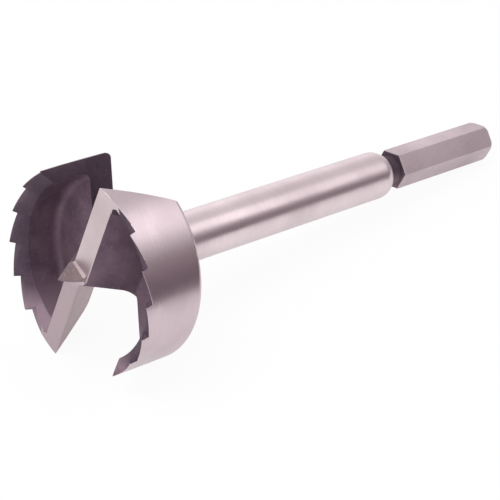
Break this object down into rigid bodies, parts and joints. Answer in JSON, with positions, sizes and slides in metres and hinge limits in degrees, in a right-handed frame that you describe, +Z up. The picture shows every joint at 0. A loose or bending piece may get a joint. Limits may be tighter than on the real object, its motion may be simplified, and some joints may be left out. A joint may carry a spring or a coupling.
{
  "type": "forstner bit",
  "caption": "Saw-tooth forstner bit: toothed rim cutting head with lips, chip windows and a centre point, on a round shank with a hexagonal drive end.",
  "frame": {"origin": "middle of the lying tool's bounding box, on the surface that it rests on", "axes": "+X along the length of the tool toward the hexagon end, +Z up from the surface, +Y completes the right-handed frame"},
  "size_m": [0.1492, 0.0508, 0.0493],
  "materials": {
    "steel": "satin ground steel, darker where the heat-treated skin is left"
  },
  "bodies": {
    "root": {"forstner_bit": "steel"}
  },
  "joints": []
}
